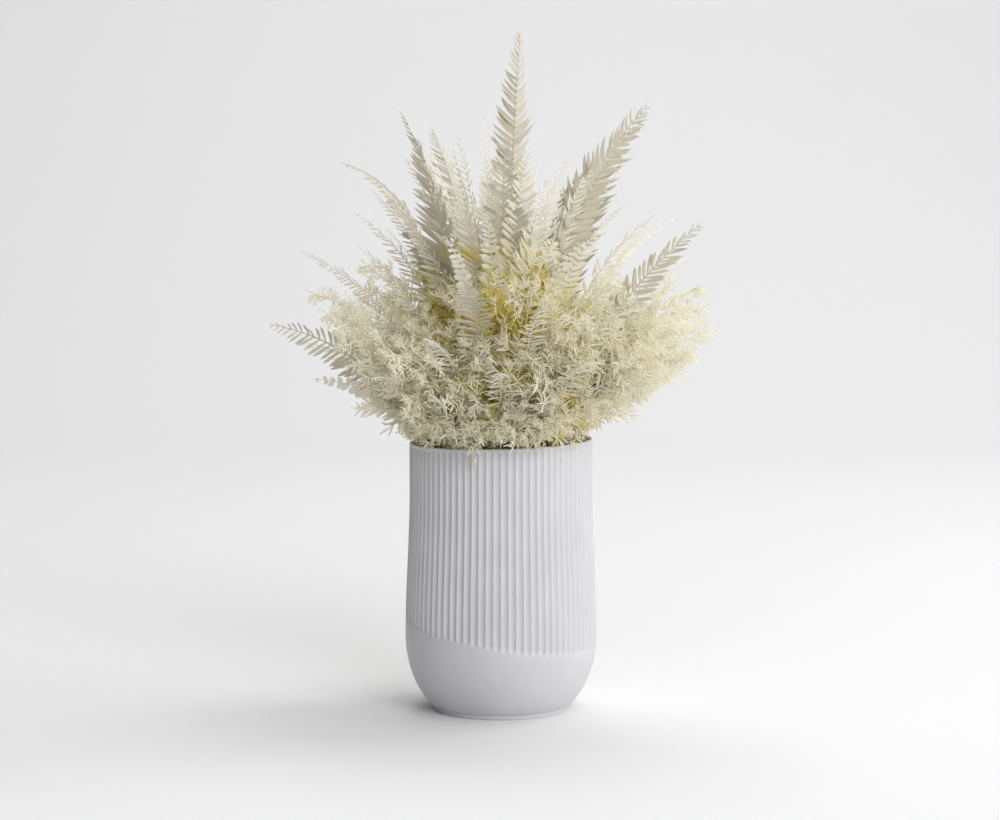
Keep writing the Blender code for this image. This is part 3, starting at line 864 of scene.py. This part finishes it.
def twig(seed):
    """An antler-like twig of unit length: one stick, four pairs of needles and one at its tip."""
    chance = random.Random(seed)
    bm = bmesh.new()
    lay(bm, stick, Matrix.Identity(4))
    for step in range(4):
        up = 0.14 + 0.2 * step
        for hand in (1, -1):
            turn = Matrix.Rotation(math.radians(chance.gauss(0, 34)), 4, "Y")
            lean = Matrix.Rotation(-hand * math.radians(chance.uniform(36, 62)), 4, "Z")
            size = (0.62 - 0.07 * step) * chance.uniform(0.8, 1.15)
            spot = Matrix.Translation((0, up + chance.uniform(-0.03, 0.03), 0))
            lay(bm, needle, spot @ turn @ lean @ Matrix.Scale(size, 4))
    lay(bm, needle, Matrix.Translation((0, 0.9, 0)) @ Matrix.Scale(0.34, 4))
    return as_mesh(bm, "twig")


twigs = [twig(seed) for seed in range(5)]


def branch(seed):
    """A side branch of unit length, with twigs to both sides and one at its end."""
    chance = random.Random(seed)
    bm = bmesh.new()
    lay(bm, stick, Matrix.Diagonal((0.6, 1, 0.6, 1)))
    for step in range(5):
        up = 0.16 + 0.16 * step
        hand = 1 if step % 2 else -1
        turn = Matrix.Rotation(math.radians(chance.gauss(0, 40)), 4, "Y")
        lean = Matrix.Rotation(-hand * math.radians(chance.uniform(38, 62)), 4, "Z")
        size = (0.50 - 0.18 * up) * chance.uniform(0.85, 1.15)
        lay(bm, chance.choice(twigs), Matrix.Translation((0, up, 0)) @ turn @ lean @ Matrix.Scale(size, 4))
    lay(bm, chance.choice(twigs), Matrix.Translation((0, 0.88, 0)) @ Matrix.Scale(0.36, 4))
    return as_mesh(bm, "branch")


branches = [branch(seed) for seed in range(10, 16)]


def clear_of_pot(bm):
    """Trim away whatever would cut into the pot's wall or rim."""
    found = []
    for vert in bm.verts:
        radius = math.hypot(vert.co.x, vert.co.y)
        rim = POT_HEIGHT + vert.co.x * math.tan(RIM_TILT)
        if vert.co.z < rim + 0.0008 and NECK_BORE - 0.0010 < radius < NECK_RADIUS + WALL_GAP:
            found.append(vert)
    doomed = set(found)
    while found:
        for edge in found.pop().link_edges:
            for vert in edge.verts:
                if vert not in doomed:
                    doomed.add(vert)
                    found.append(vert)
    bmesh.ops.delete(bm, geom=list(doomed), context="VERTS")


def asparagus(name, row, seed, count=14, longest=LONGEST_BRANCH):
    """One spray: a stem with branches all round it, longest in the lower half, and a twig at the tip."""
    chance = random.Random(seed)
    stalk = Stalk(*row)
    line = stalk.curve(stalk.foot, (stalk.root_lean + stalk.exit_lean) / 2, 24)
    bm = bmesh.new()
    tubes(bm, [tapered([stalk.below(SPRAY_ROOT)] + line, SPRAY_STEM_RADIUS, SPRAY_TIP_RADIUS)], 1)
    total = sum((after - before).length for before, after in zip(line, line[1:]))
    for index, (point, along, share) in enumerate(arc_points(line, total / (count * 1.35))):
        if share < 0.12:
            continue
        across = (stalk.side - along * stalk.side.dot(along)).normalized()
        spin = Matrix.Rotation(math.radians(GOLDEN_ANGLE * index + chance.uniform(-20, 20)), 3, along)
        outward = spin @ across
        lean = math.radians(chance.uniform(34, 58))
        ahead = (along * math.cos(lean) + outward * math.sin(lean)).normalized()
        face = spin @ across.cross(along)
        sideways = ahead.cross(face).normalized()
        face = sideways.cross(ahead)
        size = longest * min((1 - share) ** 0.7, share / 0.25) + SHORTEST_BRANCH
        size *= chance.uniform(0.75, 1.15)
        for axis, edge in ((0, RIGHT_EDGE), (1, BACK_EDGE)):
            size = min(size, max(edge - point[axis], 0.004) / max(ahead[axis], 0.4))
        axes = Matrix((sideways * size, ahead * size, face * size)).transposed()
        lay(bm, chance.choice(branches), Matrix.Translation(point) @ axes.to_4x4())
    along = arc_points(line, total / 40)[-1][1]
    turn = along.to_track_quat("Y", "Z").to_matrix().to_4x4()
    seat = Matrix.Translation(line[-1] - along * 0.006)
    lay(bm, twigs[0], seat @ turn @ Matrix.Scale(TIP_TWIG, 4))
    clear_of_pot(bm)
    piece = show(name, bm, asparagus_cream)
    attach(piece, "planting")
    return piece


for number, row in enumerate(ASPARAGUS, 1):
    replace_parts(asparagus(f"asparagus_fern_{number:02d}", row, number), f"asparagus_spray_{number:02d}")
for number, row in enumerate(FILLERS, 1):
    asparagus(f"asparagus_filler_{number:02d}", row, 100 + number)
for number, row in enumerate(SKIRT, 1):
    asparagus(f"asparagus_skirt_{number:02d}", row, 200 + number, 12, SKIRT_BRANCH)


# ---- Small ferns ----
# Narrow sword ferns, round-leaved button ferns and loose ferns of several kinds, each moulded in one
# piece with its stem and pushed into the foam between the asparagus sprays.

SWORD_FERNS = (
    (150, 0.215, 0.178, 20),
    (193, 0.128, 0.185, 18),
    (235, 0.026, 0.302, -2),
    (290, 0.143, 0.060, 20),
    (206, 0.140, 0.046, 24),
    (88, 0.118, 0.235, 16),
)
BUTTON_FERNS = (
    (21, 0.167, 0.208, 26),
    (178, 0.168, 0.066, 18),
    (307, 0.116, 0.190, 28),
    (74, 0.150, 0.060, 24),
)
LOOSE_ANGLES = (70, 46)
LOOSE = (
    # azimuth, reach, rise, droop, turn, then the leaflet, its longest and its spacing
    (161, 0.124, 0.235, 20, -20, "finger", 0.015, 0.0046),
    (345, 0.115, 0.259, 22, -36, "finger", 0.015, 0.0046),
    (323, 0.132, 0.222, 26, -20, "spoon", 0.014, 0.0056),
    (215, 0.045, 0.281, 6, 10, "finger", 0.018, 0.0052),
    (172, 0.085, 0.262, 14, 30, "sword", 0.024, 0.0056),
    (198, 0.070, 0.262, 10, 14, "finger", 0.024, 0.0052),
    (228, 0.062, 0.268, 8, 4, "sword", 0.026, 0.0056),
    (255, 0.050, 0.262, 6, 0, "finger", 0.026, 0.0052),
    (290, 0.065, 0.270, 8, -4, "finger", 0.026, 0.0052),
    (312, 0.085, 0.262, 12, -14, "sword", 0.026, 0.0056),
    (335, 0.092, 0.258, 16, -24, "finger", 0.024, 0.0052),
    (178, 0.115, 0.245, 24, 30, "spoon", 0.018, 0.0056),
    (60, 0.070, 0.272, 6, 60, "sword", 0.012, 0.0042),
    (150, 0.075, 0.275, 10, 12, "sword", 0.024, 0.0056),
    (30, 0.100, 0.250, 16, -12, "sword", 0.024, 0.0056),
    (240, 0.080, 0.232, 20, 6, "sword", 0.024, 0.0052),
    (262, 0.092, 0.215, 26, 0, "spoon", 0.017, 0.0054),
    (300, 0.080, 0.245, 16, -8, "sword", 0.026, 0.0054),
    (325, 0.095, 0.252, 16, -22, "sword", 0.026, 0.0054),
    (205, 0.105, 0.222, 24, 22, "finger", 0.020, 0.0050),
    (185, 0.130, 0.215, 26, 30, "finger", 0.018, 0.0050),
    (355, 0.140, 0.215, 22, -30, "finger", 0.020, 0.0050),
    (284, 0.160, 0.140, 34, 6, "linear", 0.018, 0.0036),
    (246, 0.160, 0.110, 34, -8, "linear", 0.018, 0.0036),
    (228, 0.165, 0.076, 30, 8, "linear", 0.016, 0.0036),
    (270, 0.148, 0.080, 44, 0, "linear", 0.017, 0.0034),
    (259, 0.130, 0.050, 46, 14, "linear", 0.014, 0.0034),
    (284, 0.128, 0.050, 46, -14, "linear", 0.014, 0.0034),
    (302, 0.160, 0.090, 34, -6, "linear", 0.017, 0.0036),
    (318, 0.168, 0.140, 28, -10, "linear", 0.017, 0.0038),
    (330, 0.172, 0.080, 26, -14, "linear", 0.016, 0.0038),
    (249, 0.130, 0.195, 26, 10, "button", 0.011, 0.0070),
    (212, 0.170, 0.150, 24, 16, "linear", 0.017, 0.0038),
    (184, 0.178, 0.100, 22, 24, "linear", 0.017, 0.0040),
    (8, 0.170, 0.170, 20, -40, "linear", 0.016, 0.0038),
    (20, 0.165, 0.070, 22, -30, "linear", 0.015, 0.0038),
    (140, 0.140, 0.200, 22, 0, "finger", 0.016, 0.0044),
    (108, 0.140, 0.170, 26, 0, "linear", 0.017, 0.0040),
    (88, 0.120, 0.215, 20, 0, "sword", 0.020, 0.0052),
    (55, 0.140, 0.200, 24, 0, "finger", 0.016, 0.0044),
    (80, 0.150, 0.100, 28, 0, "linear", 0.016, 0.0038),
    (120, 0.150, 0.080, 28, 0, "linear", 0.016, 0.0038),
    (42, 0.150, 0.090, 26, 0, "linear", 0.016, 0.0038),
)

# The leaflets let a little less light through than the needles do.
small_cream = bleached("Moulded polyethylene, small fern", "#f8f5ec", "#f8f0b4", 0.4)


def small_fern(name, row, turn, shape, reach, spacing, angles):
    """One small fern: a thin stem, and leaflets from a fifth of its way up."""
    chance = random.Random(name)
    stalk = Stalk(*row)
    line = stalk.curve(stalk.foot, (stalk.root_lean + stalk.exit_lean) / 2, 40)
    bm = bmesh.new()
    tubes(bm, [tapered([stalk.below(SPRAY_ROOT)] + line, SPRAY_STEM_RADIUS, RIB_TIP_RADIUS)], 2)
    feather(bm, line[8:], stalk.side, math.radians(turn), shape, reach, spacing, angles, chance)
    clear_of_pot(bm)
    piece = show(name, bm, small_cream)
    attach(piece, "planting")
    return piece


for kind, rows, shape, reach, spacing, angles, turns in (
    ("sword", SWORD_FERNS, "finger", 0.014, 0.0036, (70, 45), (62, 50, 66, -8, 48, 0)),
    ("button", BUTTON_FERNS, "button", 0.0105, 0.0068, (72, 60), (-62, 62, -28, -12)),
):
    for number, (row, turn) in enumerate(zip(rows, turns), 1):
        piece = small_fern(f"{kind}_fern_{number:02d}", row, turn, shape, reach, spacing, angles)
        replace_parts(piece, f"{kind}_spray_{number:02d}")
for number, (azimuth, out, rise, droop, turn, shape, reach, spacing) in enumerate(LOOSE, 1):
    row = (azimuth, out, rise, droop)
    small_fern(f"loose_fern_{number:02d}", row, turn, shape, reach, spacing, LOOSE_ANGLES)
